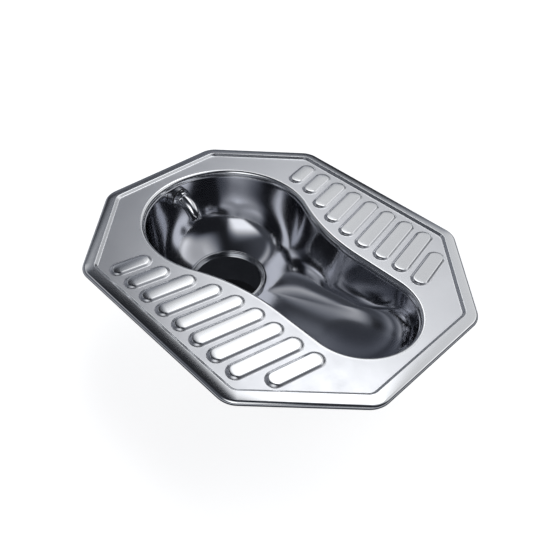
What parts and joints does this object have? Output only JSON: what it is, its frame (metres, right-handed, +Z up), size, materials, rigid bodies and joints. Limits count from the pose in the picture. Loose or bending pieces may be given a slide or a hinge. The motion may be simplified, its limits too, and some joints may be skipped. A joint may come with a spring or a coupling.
{
  "type": "squat toilet",
  "caption": "Steel squat toilet pan for setting into a floor, with foot treads, a raised rim, a drawn bowl with a round hopper and a trough, a drain outlet and a flush inlet.",
  "frame": {"origin": "centre of the pan's outline at the level of the finished floor, which the sealing strip under the rim rests on", "axes": "+X runs along the pan away from the drain and the flush inlet, +Y across the pan, +Z up out of the floor"},
  "size_m": [0.53, 0.44, 0.1782],
  "materials": {
    "deck_steel": "satin stainless steel with a polished rim",
    "bowl_steel": "mirror-polished stainless steel",
    "seal_rubber": "matt black foam rubber strip",
    "outlet_steel": "stainless steel as drawn",
    "boss_steel": "turned stainless steel",
    "spout_chrome": "chrome-plated brass",
    "washer_rubber": "black rubber",
    "zinc_steel": "zinc-plated steel",
    "nut_brass": "plain brass",
    "underside_steel": "mill-finish steel sheet, spot welded"
  },
  "bodies": {
    "root": {"deck_plate": "deck_steel", "rim_seal": "seal_rubber", "bowl": "bowl_steel", "outlet_collar": "outlet_steel", "outlet_spigot": "outlet_steel", "inlet_boss": "boss_steel", "flush_spout": "spout_chrome", "spout_rosette": "spout_chrome", "inlet_gasket_inner": "washer_rubber", "inlet_gasket_outer": "washer_rubber", "inlet_washer": "zinc_steel", "inlet_locknut": "nut_brass", "anchor_lug_rear_left": "underside_steel", "anchor_lug_rear_right": "underside_steel", "anchor_lug_front_left": "underside_steel", "anchor_lug_front_right": "underside_steel", "stiffener_left_inner": "underside_steel", "stiffener_left_outer": "underside_steel", "stiffener_right_inner": "underside_steel", "stiffener_right_outer": "underside_steel", "earth_tab": "underside_steel", "earth_bolt": "zinc_steel", "earth_washers": "zinc_steel", "earth_nut": "zinc_steel"}
  },
  "joints": []
}
